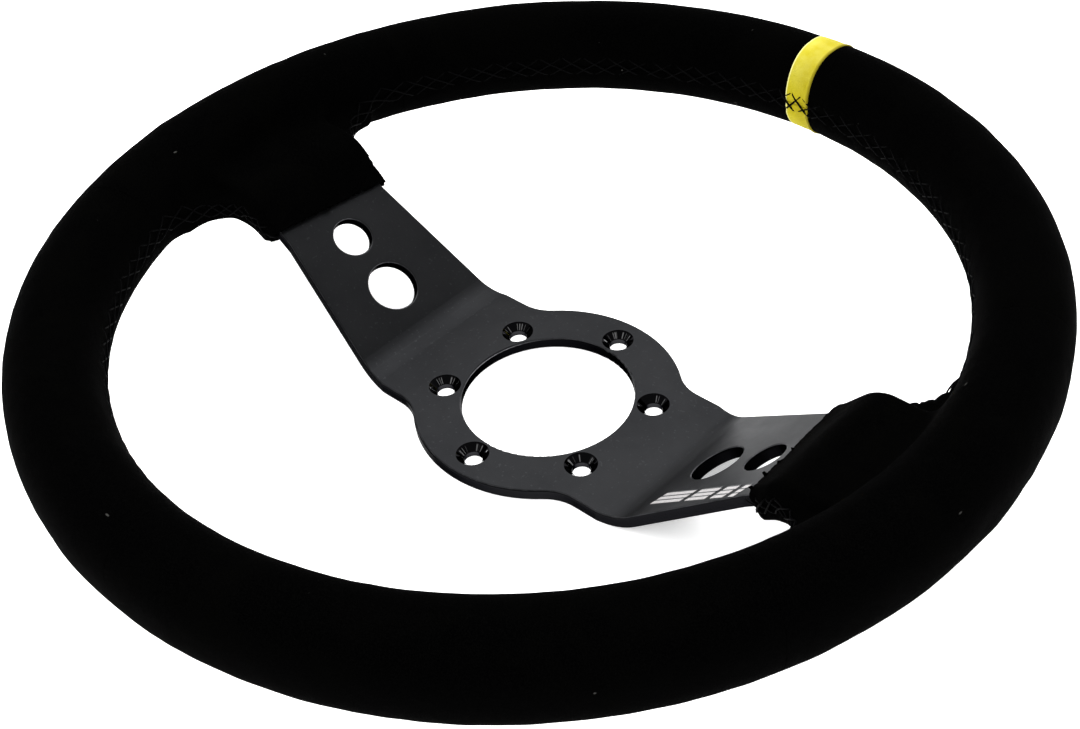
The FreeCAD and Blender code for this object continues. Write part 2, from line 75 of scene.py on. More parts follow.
# --- camera --------------------------------------------------------------------------------------
def make_camera():
    data = bpy.data.cameras.new("camera")
    data.sensor_fit, data.sensor_width = "HORIZONTAL", 36.0
    data.lens = 52.36
    data.shift_x, data.shift_y = -0.04115, 0.05827
    data.clip_start, data.clip_end = 0.01, 50.0
    camera = bpy.data.objects.new("camera", data)
    scene.collection.objects.link(camera)
    right = Vector((0.743812, 0.665305, -0.064127))
    up = Vector((-0.419230, 0.539109, 0.730484))
    back = Vector((0.520566, -0.516459, 0.679912))
    turn = Matrix((right, up, back)).transposed().to_4x4()
    camera.matrix_world = Matrix.Translation(Vector((280.68, -262.95, 344.43)) * MM) @ turn
    scene.camera = camera


make_camera()


# --- shape of the padded rim and boots -----------------------------------------------------------
def smooth_min(a, b, k):
    h = np.clip(0.5 + 0.5 * (b - a) / k, 0.0, 1.0)
    return b * (1 - h) + a * h - k * h * (1 - h)


def smooth_max(a, b, k):
    return -smooth_min(-a, -b, k)


def ease(x, low, high):
    t = np.clip((x - low) / (high - low), 0.0, 1.0)
    return t * t * (3 - 2 * t)


def slope_coords(x, z):
    """Distance up the spoke's slope from the front bend line, and height above its front face."""
    c, s = math.cos(SLOPE), math.sin(SLOPE)
    return (x - BEND) * c + (z - PLATE) * s, -(x - BEND) * s + (z - PLATE) * c


def rim_field(x, y, z):
    u = np.abs((np.hypot(x, y) - RIM_RADIUS) / HALF_WIDTH)
    v = np.abs((z - RIM_HEIGHT) / HALF_DEPTH)
    size = (u**SECTION_POWER + v**SECTION_POWER) ** (1 / SECTION_POWER)
    return (size - 1) * 0.5 * (HALF_WIDTH + HALF_DEPTH)


def sheet_field(x, z, front, back):
    """A padded layer round the bent sheet."""
    along, above = slope_coords(x, z)
    level = z - END_FRONT
    top = smooth_max(above, level, SHEET_BLEND) - front
    bottom = smooth_min(-PLATE - above, -PLATE - level, SHEET_BLEND) - back
    return smooth_max(top, bottom, SHEET_BLEND)


def boot_field(x, y, z):
    x = np.abs(x)
    grow = ease(slope_coords(x, z)[0], BOOT_CUT, BOOT_CUT + BOOT_GROW)
    pad = sheet_field(x, z, LIP + (FRONT_PAD - LIP) * grow, LIP + (BACK_PAD - LIP) * grow)
    pad = smooth_max(pad, np.abs(y) - TIP_HALF_WIDTH - BOOT_MARGIN, SHEET_BLEND)
    return np.maximum(pad, np.hypot(x, y) - RIM_RADIUS)


def web_field(x, y, z):
    """The flare from a boot's side edges into the rim."""
    x, y = np.abs(x), np.abs(y)
    level = TIP_HALF_WIDTH + BOOT_MARGIN + BOOT_NECK
    reach = math.sqrt((RIM_RADIUS - HALF_WIDTH - BOOT_NECK) ** 2 - level**2)
    plan = np.maximum(np.maximum(BOOT_NECK - np.hypot(x - reach, y - level), y - level), reach - x)
    pad = smooth_max(sheet_field(x, z, WEB_FRONT, WEB_BACK), plan, SHEET_BLEND)
    return np.maximum(pad, np.hypot(x, y) - RIM_RADIUS)


def field(x, y, z):
    arms = smooth_min(boot_field(x, y, z), web_field(x, y, z), ARM_BLEND)
    return smooth_min(rim_field(x, y, z), arms, RIM_BLEND)


def gradient(points, f=field, step=0.05):
    x, y, z = points.T
    g = np.stack(
        [
            f(x + step, y, z) - f(x - step, y, z),
            f(x, y + step, z) - f(x, y - step, z),
            f(x, y, z + step) - f(x, y, z - step),
        ],
        1,
    )
    return g / (2 * step)


def settle(points, f=field, rounds=3):
    """Move points on to the surface f = 0."""
    for _ in range(rounds):
        g = gradient(points, f)
        points = points - (f(*points.T) / np.maximum((g**2).sum(1), 1e-9))[:, None] * g
    return points


def normals(points, f=field):
    g = gradient(points, f)
    return g / np.linalg.norm(g, axis=1)[:, None]


def surface_nets(values, origin, step):
    """Quads round the zero level of a grid of values, negative inside."""
    inside = values < 0
    nx, ny, nz = values.shape
    offsets = [(i, j, k) for i in (0, 1) for j in (0, 1) for k in (0, 1)]
    corners = [inside[i : nx - 1 + i, j : ny - 1 + j, k : nz - 1 + k] for i, j, k in offsets]
    active = np.logical_or.reduce(corners) & ~np.logical_and.reduce(corners)
    cells = np.argwhere(active)
    ids = np.full(active.shape, -1, np.int64)
    ids[active] = np.arange(len(cells))
    total, count = np.zeros((len(cells), 3)), np.zeros(len(cells))
    for axis in range(3):
        others = [q for q in range(3) if q != axis]
        for a in (0, 1):
            for b in (0, 1):
                start = cells.copy()
                start[:, others[0]] += a
                start[:, others[1]] += b
                end = start.copy()
                end[:, axis] += 1
                f0, f1 = values[tuple(start.T)], values[tuple(end.T)]
                crossed = (f0 < 0) != (f1 < 0)
                share = np.where(crossed, f0 / np.where(crossed, f0 - f1, 1), 0)
                spot = start.astype(float)
                spot[:, axis] += share
                total[crossed] += spot[crossed]
                count[crossed] += 1
    points = total / count[:, None] * step + origin
    quads = []
    for axis in range(3):
        first, second = (axis + 1) % 3, (axis + 2) % 3
        low, high = [slice(None)] * 3, [slice(None)] * 3
        low[axis], high[axis] = slice(0, -1), slice(1, None)
        before, after = inside[tuple(low)], inside[tuple(high)]
        edges = np.argwhere(before != after)
        for side in (first, second):
            edges = edges[(edges[:, side] > 0) & (edges[:, side] < values.shape[side] - 1)]
        ring = []
        for da, db in ((-1, -1), (0, -1), (0, 0), (-1, 0)):
            cell = edges.copy()
            cell[:, first] += da
            cell[:, second] += db
            ring.append(ids[tuple(cell.T)])
        ring = np.stack(ring, 1)
        flip = ~before[tuple(edges.T)]
        ring[flip] = ring[flip][:, ::-1]
        quads.append(ring)
    quads = np.concatenate(quads)
    return points, quads[(quads >= 0).all(1)]


def mesh_field(f, low, high, step):
    """The surface f = 0 inside a box, as points and quads."""
    low, high = np.array(low), np.array(high)
    axes = [np.arange(low[i], high[i], step) for i in range(3)]
    return surface_nets(f(*np.meshgrid(*axes, indexing="ij")), low, step)


def new_piece(name, points, faces, material):
    """A shaded object from points in millimetres and lists of corners."""
    mesh = bpy.data.meshes.new(name)
    mesh.from_pydata((points * MM).tolist(), [], faces)
    mesh.polygons.foreach_set("use_smooth", [True] * len(mesh.polygons))
    mesh.update()
    mesh.materials.append(material)
    piece = bpy.data.objects.new(name, mesh)
    scene.collection.objects.link(piece)
    return piece


def waves(points, seed, length, count=24):
    """Smooth uneven values from -1 to 1, with bumps about `length` millimetres across."""
    rng = np.random.default_rng(seed)
    ways = rng.normal(size=(count, 3))
    ways *= (2 * math.pi / length * rng.uniform(0.6, 1.5, count) / np.linalg.norm(ways, axis=1))[:, None]
    phases = rng.uniform(0, 2 * math.pi, count)
    return np.sin(points @ ways.T + phases).sum(1) / math.sqrt(count) * 0.7


# --- section of the rim, as points a set distance apart ---------------------------------------
def section(arc):
    """Points of the rim's section at distances `arc` from the seam, or its girth for None."""
    turn = np.linspace(0, 2 * math.pi, 4001) + SEAM_ANGLE
    # the seam is on the inner side, and a falling angle goes over the top first
    turn = 2 * SEAM_ANGLE - turn
    power = 2 / SECTION_POWER
    u = HALF_WIDTH * np.sign(np.cos(turn)) * np.abs(np.cos(turn)) ** power
    v = HALF_DEPTH * np.sign(np.sin(turn)) * np.abs(np.sin(turn)) ** power
    length = np.concatenate([[0], np.cumsum(np.hypot(np.diff(u), np.diff(v)))])
    if arc is None:
        return length[-1]
    arc = np.mod(arc, length[-1])
    return np.stack([np.interp(arc, length, u), np.interp(arc, length, v)], -1)


GIRTH = section(None)


def graded(length, step, fine):
    """Distances from 0 to length, close together at both ends."""
    count = max(2, int(round((length - 2 * fine[-1]) / step)))
    middle = np.linspace(fine[-1], length - fine[-1], count + 1)
    return np.concatenate([fine[:-1], middle, length - fine[:-1][::-1]])


def roll(distance, radius):
    """How far a turned-in edge has dropped, at a distance from the edge."""
    t = np.clip(radius - distance, 0, radius)
    return radius - np.sqrt(np.maximum(radius**2 - t**2, 0))


def nearest_square(points, spots, block=20000, batch=64):
    """Squared distance from each point to the nearest of the spots, in blocks that fit in memory."""
    gap = np.full(len(points), 1e9)
    for low in range(0, len(points), block):
        part = points[low : low + block]
        for first in range(0, len(spots), batch):
            d = part[:, None] - spots[None, first : first + batch]
            gap[low : low + block] = np.minimum(gap[low : low + block], (d**2).sum(2).min(1))
    return gap


def dimples(spots, points):
    """Drop round each stitch hole."""
    return DIMPLE_DEPTH * np.exp(-nearest_square(points, spots) / DIMPLE_WIDTH**2)


# --- the seam's path and its stitches ------------------------------------------------------------
def seam_level(x, y):
    """Height of the seam: half way up the sheet along a boot, the rim's inner side beyond it."""
    x = np.abs(x)
    middle = PLATE + (x - BEND) * math.tan(SLOPE) - PLATE / 2 / math.cos(SLOPE)
    boot = np.minimum(middle, END_FRONT - PLATE / 2)
    blend = ease(np.abs(y), 26.0, 54.0)
    return boot * (1 - blend) + SEAM_LEVEL * blend


def window_path(up):
    """The seam round one window, from the right boot's cut to the left one's."""
    centre = np.array([86.0, 60.0])
    points = []
    for way in np.radians(np.linspace(-70.5, 0, 90)):
        distance = np.linspace(8, 60, 2081)
        x, y = centre[0] + distance * math.cos(way), centre[1] + distance * math.sin(way)
        z = seam_level(x, y)
        hit = int(np.argmax(field(x, y, z) < 0))
        points.append((x[hit], y[hit], z[hit]))
    start = math.degrees(math.atan2(points[-1][1], points[-1][0]))
    inner = RIM_RADIUS + section(np.array([0.0]))[0, 0]
    for angle in np.radians(np.arange(start + 1.0, 90.1, 0.5)):
        points.append((inner * math.cos(angle), inner * math.sin(angle), SEAM_LEVEL))
    points = np.array(points)
    far = points[::-1][1:] * (-1, 1, 1)
    points = np.concatenate([points, far]) * (1, up, 1)
    length = np.concatenate([[0], np.cumsum(np.linalg.norm(np.diff(points, axis=0), axis=1))])
    even = np.linspace(0, length[-1], int(length[-1] / 0.5))
    points = np.stack([np.interp(even, length, points[:, i]) for i in range(3)], 1)
    for _ in range(6):
        points[1:-1] = 0.25 * points[:-2] + 0.5 * points[1:-1] + 0.25 * points[2:]
    return settle(points)


PATHS = {1: window_path(1), -1: window_path(-1)}


def path_frame(path, arc):
    """Places, tangents, normals and upward side directions at distances along a path."""
    length = np.concatenate([[0], np.cumsum(np.linalg.norm(np.diff(path, axis=0), axis=1))])
    spots = np.stack([np.interp(arc, length, path[:, i]) for i in range(3)], 1)
    ahead = np.stack([np.interp(arc + 1.0, length, path[:, i]) for i in range(3)], 1)
    behind = np.stack([np.interp(arc - 1.0, length, path[:, i]) for i in range(3)], 1)
    tangent = ahead - behind
    tangent /= np.linalg.norm(tangent, axis=1)[:, None]
    normal = normals(spots)
    side = np.cross(normal, tangent)
    side /= np.linalg.norm(side, axis=1)[:, None]
    side *= np.sign(side[:, 2])[:, None]
    return spots, tangent, normal, side


def angle_of(points):
    return np.degrees(np.arctan2(points[:, 1], points[:, 0])) % 360


def near(angle, centre, half):
    return np.abs((angle - centre + 180) % 360 - 180) < half


def stitch_rows(up):
    """Distances along a window's path where the upper row's stitches sit."""
    path = PATHS[up]
    length = np.linalg.norm(np.diff(path, axis=0), axis=1).sum()
    arc, arcs = 1.5, []
    while arc < length - 1.5:
        arcs.append(arc)
        spot = path[min(int(arc / length * len(path)), len(path) - 1)]
        at = math.degrees(math.atan2(spot[1], spot[0])) % 360
        if up > 0 and BAND_LOW - 1 < at < BAND_HIGH + 0.3:
            arc += BAND_PITCH
        elif abs(spot[1]) < BOOT_LEVEL:
            arc += BOOT_PITCH
        else:
            arc += RIM_PITCH
    return np.array(arcs)


def on_path(path, arc, across):
    """Places on the surface, at distances along a path and to its side."""
    spots, _, _, side = path_frame(path, arc)
    return settle(spots + side * across[:, None])


def stitch_reach(path, arc):
    """Half width of the lacing, narrower where it runs down the boots."""
    level = np.abs(path_frame(path, arc)[0][:, 1])
    return BOOT_REACH + (STITCH_REACH - BOOT_REACH) * ease(level, 30.0, 42.0)


STITCHES = []  # (start arc, end arc, start side, window)
HOLES = []
for up in (1, -1):
    rows = stitch_rows(up)
    between = 0.5 * (rows[:-1] + rows[1:])
    rng = np.random.default_rng(5 + up)
    top = rows + rng.uniform(-STITCH_SCATTER, STITCH_SCATTER, len(rows))
    low = between + rng.uniform(-STITCH_SCATTER, STITCH_SCATTER, len(between))
    for k in range(len(rows) - 2):
        STITCHES.append((top[k], low[k + 1], 1, up))
        STITCHES.append((low[k], top[k + 2], -1, up))
    for arcs, side in ((top, 1), (low, -1)):
        HOLES.append(on_path(PATHS[up], arcs, side * stitch_reach(PATHS[up], arcs)))
HOLES = np.concatenate(HOLES)


def tube_rings(points, normal, radius, sides):
    """Closed tubes along many lines at once: points (lines, steps, 3)."""
    lines, steps, _ = points.shape
    tangent = np.gradient(points, axis=1)
    tangent /= np.linalg.norm(tangent, axis=2)[..., None]
    side = np.cross(tangent, normal)
    side /= np.linalg.norm(side, axis=2)[..., None]
    out = np.cross(side, tangent)
    turn = np.linspace(0, 2 * math.pi, sides, endpoint=False)
    spoke = np.cos(turn)[:, None] * out[:, :, None] + np.sin(turn)[:, None] * side[:, :, None]
    ring = points[:, :, None] + radius * spoke
    index = np.arange(lines * steps * sides).reshape(lines, steps, sides)
    a, b = index[:, :-1], index[:, 1:]
    quads = np.stack([a, np.roll(a, -1, 2), np.roll(b, -1, 2), b], -1).reshape(-1, 4)
    faces = quads.tolist()
    for line in range(lines):
        faces.append(index[line, 0][::-1].tolist())
        faces.append(index[line, -1].tolist())
    return ring.reshape(-1, 3), faces


def stitch_lines(stitches, up, radius):
    """Centre lines of the stitches of one window, laid over the surface."""
    path = PATHS[up]
    t = np.linspace(0, 1, THREAD_STEPS)
    shape = (len(stitches), THREAD_STEPS, 3)
    arc = np.array([[s[0] + (s[1] - s[0]) * q for q in t] for s in stitches])
    side = np.array([s[2] for s in stitches])
    across = side[:, None] * stitch_reach(path, arc.ravel()).reshape(arc.shape) * (1 - 2 * t)[None]
    flat = on_path(path, arc.ravel(), across.ravel())
    out = normals(flat)
    # the ends dive into the suede, and one of each crossing pair passes over the other
    lift = radius * (0.9 - 2.6 * np.abs(2 * t - 1) ** 16)
    over = 1.1 * radius * (1 - ease(np.abs(2 * t - 1), 0.45, 0.85))
    height = lift[None] + np.where(side[:, None] < 0, over[None], 0)
    return flat.reshape(shape) + out.reshape(shape) * height[..., None], out.reshape(shape)


# --- materials -----------------------------------------------------------------------------------
class Nodes:
    """A short way to lay out a material's nodes."""

    def __init__(self, name):
        self.material = bpy.data.materials.new(name)
        self.material.use_nodes = True
        self.tree = self.material.node_tree
        self.tree.nodes.clear()
        self.shader = self.tree.nodes.new("ShaderNodeBsdfPrincipled")
        output = self.tree.nodes.new("ShaderNodeOutputMaterial")
        self.link(self.shader.outputs[0], output.inputs["Surface"])
        self.place = self.tree.nodes.new("ShaderNodeTexCoord").outputs["Object"]

    def link(self, start, end):
        self.tree.links.new(start, end)

    def put(self, socket, value):
        if isinstance(value, bpy.types.NodeSocket):
            self.link(value, socket)
        else:
            socket.default_value = value

    def fixed(self, **values):
        """Constant values on the shader's own sockets."""
        for name, value in values.items():
            self.shader.inputs[name.replace("_", " ")].default_value = value

    def math(self, operation, *values):
        node = self.tree.nodes.new("ShaderNodeMath")
        node.operation = operation
        for socket, value in zip(node.inputs, values):
            self.put(socket, value)
        return node.outputs[0]

    def noise(self, scale, detail=3.0, roughness=0.55, place=None, distortion=0.0):
        node = self.tree.nodes.new("ShaderNodeTexNoise")
        self.link(place or self.place, node.inputs["Vector"])
        settings = {"Scale": scale, "Detail": detail, "Roughness": roughness, "Distortion": distortion}
        for name, value in settings.items():
            node.inputs[name].default_value = value
        return node.outputs["Fac"]

    def cells(self, scale, place=None, output="Distance"):
        node = self.tree.nodes.new("ShaderNodeTexVoronoi")
        self.link(place or self.place, node.inputs["Vector"])
        node.inputs["Scale"].default_value = scale
        return node.outputs[output]

    def ramp(self, value, low, high, out_low=0.0, out_high=1.0):
        node = self.tree.nodes.new("ShaderNodeMapRange")
        node.interpolation_type = "SMOOTHSTEP"
        for socket, item in zip(node.inputs, (value, low, high, out_low, out_high)):
            self.put(socket, item)
        return node.outputs[0]

    def mix(self, share, first, second):
        node = self.tree.nodes.new("ShaderNodeMix")
        node.data_type = "RGBA"
        self.put(node.inputs[0], share)
        for socket, colour in ((node.inputs[6], first), (node.inputs[7], second)):
            self.put(socket, (*colour, 1.0) if isinstance(colour, tuple) else colour)
        return node.outputs[2]

    def stretch(self, scale, turn=(0.0, 0.0, 0.0)):
        node = self.tree.nodes.new("ShaderNodeMapping")
        self.link(self.place, node.inputs["Vector"])
        node.inputs["Scale"].default_value = scale
        node.inputs["Rotation"].default_value = turn
        return node.outputs[0]

    def bump(self, height, distance, strength=1.0, under=None):
        node = self.tree.nodes.new("ShaderNodeBump")
        node.inputs["Distance"].default_value = distance
        node.inputs["Strength"].default_value = strength
        self.link(height, node.inputs["Height"])
        if under is not None:
            self.link(under, node.inputs["Normal"])
        return node.outputs[0]

    def split(self, vector):
        node = self.tree.nodes.new("ShaderNodeSeparateXYZ")
        self.link(vector, node.inputs[0])
        return node.outputs


def suede_material():
    n = Nodes("suede_nap")
    brushed = n.noise(38.0, 4.0, 0.6, distortion=0.6)
    patches = n.ramp(brushed, 0.40, 0.62)
    nap = n.noise(2600.0, 2.0, 0.7)
    dark = n.mix(patches, (0.00012, 0.00012, 0.00015), (0.00034, 0.00034, 0.00031))
    napped = n.mix(n.ramp(nap, 0.35, 0.75), dark, (0.00072, 0.00072, 0.00068))
    # sparse lint: short pale fibres at uneven places
    lint = None
    for scale, turn in (((120, 45, 120), (0.3, 0.7, 0.2)), ((50, 130, 130), (1.1, 0.2, 0.9))):
        place = n.stretch(scale, turn)
        near_one = n.cells(1.0, place=place)
        picked = n.split(n.cells(1.0, place=place, output="Color"))[0]
        few = n.math("GREATER_THAN", picked, 0.80)
        fleck = n.math("MULTIPLY", n.ramp(near_one, 0.020, 0.046, 1.0, 0.0), few)
        lint = fleck if lint is None else n.math("MAXIMUM", lint, fleck)
    n.link(n.mix(lint, napped, (0.030, 0.030, 0.028)), n.shader.inputs["Base Color"])
    n.link(n.ramp(brushed, 0.3, 0.7, 0.86, 0.98), n.shader.inputs["Roughness"])
    n.fixed(Sheen_Weight=0.0007, Sheen_Roughness=0.45, Sheen_Tint=(0.8, 0.82, 0.8, 1.0))
    n.fixed(Specular_IOR_Level=0.004)
    coarse = n.bump(n.noise(420.0, 3.0, 0.6), 0.00025, 0.6)
    n.link(n.bump(nap, 0.00018, 0.8, coarse), n.shader.inputs["Normal"])
    return n.material


def band_material():
    n = Nodes("band_suede")
    x, y, z = n.split(n.place)
    dust = n.noise(160.0, 4.0, 0.6)
    base = n.mix(n.ramp(dust, 0.3, 0.7), (0.360, 0.305, 0.006), (0.415, 0.360, 0.014))
    # paler in patches along the top of the rim, and painted shade deepening towards one edge, where the
    # suede beside it stands higher
    crest = n.math("MULTIPLY", n.ramp(z, 0.050, 0.064), n.ramp(dust, 0.35, 0.65, 0.15, 0.6))
    lightened = n.mix(crest, base, (0.45, 0.41, 0.085))
    side_shade = n.mix(n.ramp(x, -0.0012, 0.0042, 0.0, 0.35), lightened, (0.26, 0.21, 0.004))
    # painted shade on the outer side of the rim, where it curves away from the light
    outer_shade = n.mix(n.ramp(y, 0.150, 0.158, 0.0, 0.5), side_shade, (0.16, 0.13, 0.002))
    # the two folded edges: a painted highlight where one catches the light, painted shade along the other,
    # beside the higher suede
    angle = n.math("MULTIPLY", n.math("ARCTAN2", y, x), 180 / math.pi)
    pale = n.math("MULTIPLY", n.ramp(angle, BAND_HIGH - 0.34, BAND_HIGH - 0.16), 0.8)
    edge_shade = n.math("MULTIPLY", n.ramp(angle, BAND_LOW + 0.12, BAND_LOW + 0.55, 1.0, 0.0), 0.75)
    edged = n.mix(edge_shade, n.mix(pale, outer_shade, (0.66, 0.64, 0.26)), (0.15, 0.12, 0.004))
    n.link(edged, n.shader.inputs["Base Color"])
    n.link(n.ramp(dust, 0.3, 0.7, 0.72, 0.9), n.shader.inputs["Roughness"])
    n.fixed(Sheen_Weight=0.03, Sheen_Roughness=0.4, Sheen_Tint=(1.0, 0.97, 0.8, 1.0))
    n.fixed(Specular_IOR_Level=0.08)
    n.link(n.bump(n.noise(1900.0, 3.0, 0.7), 0.00015, 0.7), n.shader.inputs["Normal"])
    return n.material


def thread_material():
    n = Nodes("waxed_thread")
    strands = n.noise(2400.0, 2.0, 0.6)
    wax = n.mix(n.ramp(strands, 0.3, 0.7), (0.0005, 0.0005, 0.0006), (0.0020, 0.0020, 0.0021))
    n.link(wax, n.shader.inputs["Base Color"])
    n.link(n.ramp(strands, 0.3, 0.7, 0.42, 0.60), n.shader.inputs["Roughness"])
    n.fixed(Specular_IOR_Level=0.012)
    n.link(n.bump(n.noise(5200.0, 1.0, 0.5), 0.00008, 0.8), n.shader.inputs["Normal"])
    return n.material


# places on the plate in metres, as its material reads them
SLOPE_FROM, SLOPE_TO = 0.0625, 0.105
SCREW_CIRCLE, CONE_FROM, CONE_TO, BACK_SKIN = 0.035, 0.00530, 0.00545, 0.0002
BEYOND_BORE, LIGHT_HOLE_FROM, LIGHT_HOLE_HALF = 0.033, 0.06, 0.0145
PRINT_LEVEL, PRINT_LINES = -0.0215, 500.0


def plate_material():
    n = Nodes("satin_black_coat")
    normal = n.tree.nodes.new("ShaderNodeNewGeometry").outputs["Normal"]
    x, y, z = n.split(n.place)
    s, c = math.sin(SLOPE), math.cos(SLOPE)
    # how squarely the surface faces out of the sheet: tilted on the slopes, level elsewhere
    outward = n.math("ABSOLUTE", x)
    tilt_x, _, tilt_z = n.split(normal)
    toward_axis = n.math("MULTIPLY", n.math("MULTIPLY", tilt_x, n.math("SIGN", x)), -s)
    sloping = n.math("ABSOLUTE", n.math("ADD", toward_axis, n.math("MULTIPLY", tilt_z, c)))
    before, beyond = n.math("LESS_THAN", outward, SLOPE_FROM), n.math("GREATER_THAN", outward, SLOPE_TO)
    on_level = n.math("ADD", before, beyond)
    facing = n.math("MAXIMUM", sloping, n.math("MULTIPLY", n.math("ABSOLUTE", tilt_z), on_level))
    edge = n.math("MULTIPLY", n.ramp(facing, 0.66, 0.78), n.ramp(facing, 0.90, 0.96, 1.0, 0.0))
    wall_shade = n.ramp(facing, 0.62, 0.74, 1.0, 0.0)
    # distance from the nearest screw hole: the six are folded on to one
    away = n.math("SQRT", n.math("ADD", n.math("MULTIPLY", x, x), n.math("MULTIPLY", y, y)))
    sixth = math.pi / 6
    turn = n.math("WRAP", n.math("SUBTRACT", n.math("ARCTAN2", y, x), sixth), sixth, -sixth)
    square = n.math("ADD", n.math("MULTIPLY", away, away), SCREW_CIRCLE**2)
    product = n.math("MULTIPLY", n.math("MULTIPLY", away, 2 * SCREW_CIRCLE), n.math("COSINE", turn))
    square = n.math("SUBTRACT", square, product)
    from_hole = n.math("SQRT", n.math("MAXIMUM", square, 0.0))
    above_back = n.math("GREATER_THAN", z, BACK_SKIN)
    sunk = n.math("MULTIPLY", n.ramp(from_hole, CONE_FROM, CONE_TO, 1.0, 0.0), above_back)
    grain = n.noise(1500.0, 3.0, 0.65)
    cloud = n.noise(30.0, 4.0, 0.6)
    fleck = n.ramp(n.noise(900.0, 1.0, 0.5), 0.66, 0.74)
    coat = n.mix(n.ramp(cloud, 0.3, 0.7), (0.036, 0.037, 0.040), (0.046, 0.047, 0.050))
    coat = n.mix(n.math("MULTIPLY", fleck, 0.5), coat, (0.075, 0.077, 0.082))
    # painted highlight and patchy wear along the rounded edges, kept out of the countersinks
    lightened = n.math("MULTIPLY", edge, n.ramp(n.noise(120.0, 4.0, 0.7), 0.35, 0.6, 0.15, 0.8))
    lightened = n.math("MULTIPLY", lightened, n.math("SUBTRACT", 1.0, sunk))
    coat = n.mix(lightened, coat, (0.16, 0.16, 0.17))
    # painted shade on the walls: nearly black in the bore and the lightening holes, dark grey round the
    # outline
    beyond_bore = n.math("GREATER_THAN", away, BEYOND_BORE)
    in_line = n.math("LESS_THAN", n.math("ABSOLUTE", y), LIGHT_HOLE_HALF)
    by_light_hole = n.math("MULTIPLY", in_line, n.math("GREATER_THAN", outward, LIGHT_HOLE_FROM))
    outline = n.math("MULTIPLY", beyond_bore, n.math("SUBTRACT", 1.0, by_light_hole))
    coat = n.mix(wall_shade, coat, n.mix(outline, (0.0025, 0.0025, 0.003), (0.008, 0.008, 0.009)))
    # the countersinks: gloss black, with bright streaks running down the cone, painted highlights standing
    # in for glints off its turning marks
    across = n.math("SUBTRACT", n.math("MULTIPLY", away, n.math("COSINE", turn)), SCREW_CIRCLE)
    beside = n.math("MULTIPLY", away, n.math("SINE", turn))
    round_hole = n.math("ARCTAN2", beside, across)
    which = n.math("FLOOR", n.math("MULTIPLY", n.math("ADD", n.math("ARCTAN2", y, x), sixth), 3 / math.pi))
    ring = n.tree.nodes.new("ShaderNodeCombineXYZ")
    for socket, value in zip(ring.inputs, (n.math("COSINE", round_hole), n.math("SINE", round_hole), which)):
        n.link(value, socket)
    streak = n.ramp(n.noise(7.0, 2.0, 0.5, place=ring.outputs[0]), 0.585, 0.62)
    streak = n.math("MULTIPLY", streak, n.ramp(from_hole, 0.0031, 0.0034))
    streak = n.math("MULTIPLY", streak, n.ramp(from_hole, 0.0046, 0.0050, 1.0, 0.0))
    cone = n.mix(streak, (0.020, 0.020, 0.022), (0.80, 0.80, 0.81))
    coat = n.mix(sunk, coat, cone)
    n.link(coat, n.shader.inputs["Base Color"])
    rough = n.ramp(n.noise(55.0, 5.0, 0.65), 0.3, 0.7, 0.33, 0.42)
    satin = n.math("MULTIPLY", rough, n.math("SUBTRACT", 1.0, sunk))
    n.link(n.math("ADD", satin, n.math("MULTIPLY", sunk, 0.09)), n.shader.inputs["Roughness"])
    # the painted shade also dims the walls' reflection tint, most in the bore and the lightening holes
    shine = n.mix(outline, (0.12, 0.12, 0.12), (0.40, 0.40, 0.40))
    n.link(n.mix(wall_shade, (0.6, 0.6, 0.6), shine), n.shader.inputs["Specular Tint"])
    n.fixed(Metallic=1.0)
    pores = n.math("MULTIPLY", grain, n.math("SUBTRACT", 1.0, n.math("MULTIPLY", sunk, 0.9)))
    n.link(n.bump(pores, 0.00006, 0.55), n.shader.inputs["Normal"])
    return n.material


def print_material():
    n = Nodes("silver_print")
    speck = n.noise(1800.0, 2.0, 0.6)
    ink = n.mix(n.ramp(speck, 0.55, 0.75), (0.40, 0.385, 0.385), (0.26, 0.25, 0.25))
    # the bars are printed in lines, with the dark coat between
    level = n.math("ADD", n.split(n.place)[1], -PRINT_LEVEL)
    level = n.math("FRACT", n.math("MULTIPLY", level, PRINT_LINES))
    between_lines = n.math("GREATER_THAN", level, 0.70)
    n.link(n.mix(between_lines, ink, (0.040, 0.041, 0.044)), n.shader.inputs["Base Color"])
    n.link(n.ramp(speck, 0.3, 0.7, 0.35, 0.55), n.shader.inputs["Roughness"])
    n.fixed(Metallic=0.35)
    n.link(n.bump(speck, 0.00002, 0.5), n.shader.inputs["Normal"])
    return n.material


def metal_material(name, dark, light, low, high):
    n = Nodes(name)
    brushed = n.noise(140.0, 4.0, 0.6, place=n.stretch((1.0, 1.0, 14.0)))
    n.link(n.mix(brushed, dark, light), n.shader.inputs["Base Color"])
    n.link(n.ramp(brushed, 0.3, 0.7, low, high), n.shader.inputs["Roughness"])
    n.fixed(Metallic=1.0)
    n.link(n.bump(brushed, 0.00003, 0.4), n.shader.inputs["Normal"])
    return n.material


def foam_material():
    n = Nodes("moulded_foam")
    pores = n.cells(900.0)
    skin = n.mix(n.noise(60.0), (0.0010, 0.0010, 0.0011), (0.0022, 0.0022, 0.0024))
    n.link(skin, n.shader.inputs["Base Color"])
    n.link(n.ramp(pores, 0.0, 0.6, 0.75, 0.95), n.shader.inputs["Roughness"])
    n.link(n.bump(pores, 0.0001, 0.6), n.shader.inputs["Normal"])
    return n.material


